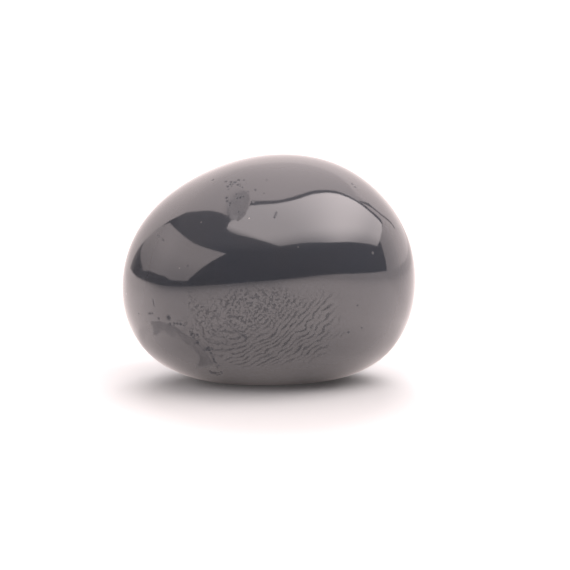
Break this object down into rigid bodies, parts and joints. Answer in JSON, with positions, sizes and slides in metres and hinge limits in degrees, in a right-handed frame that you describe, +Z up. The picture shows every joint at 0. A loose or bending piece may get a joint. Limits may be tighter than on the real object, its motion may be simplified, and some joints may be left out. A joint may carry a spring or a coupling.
{
  "type": "polished jet stone",
  "caption": "Tumbled and polished jet: one rounded near-black stone with a high gloss, resting on a small flat spot. Decorative or touch stone.",
  "frame": {"origin": "on the resting plane, under the middle of the stone's box", "axes": "+X along the stone, towards its right end as seen from the front, +Z up, -Y the front, where the scar and the nick are"},
  "size_m": [0.0304, 0.0244, 0.0235],
  "materials": {
    "polished_jet": "polished"
  },
  "bodies": {
    "root": {"jet_stone": "polished_jet"}
  },
  "joints": []
}
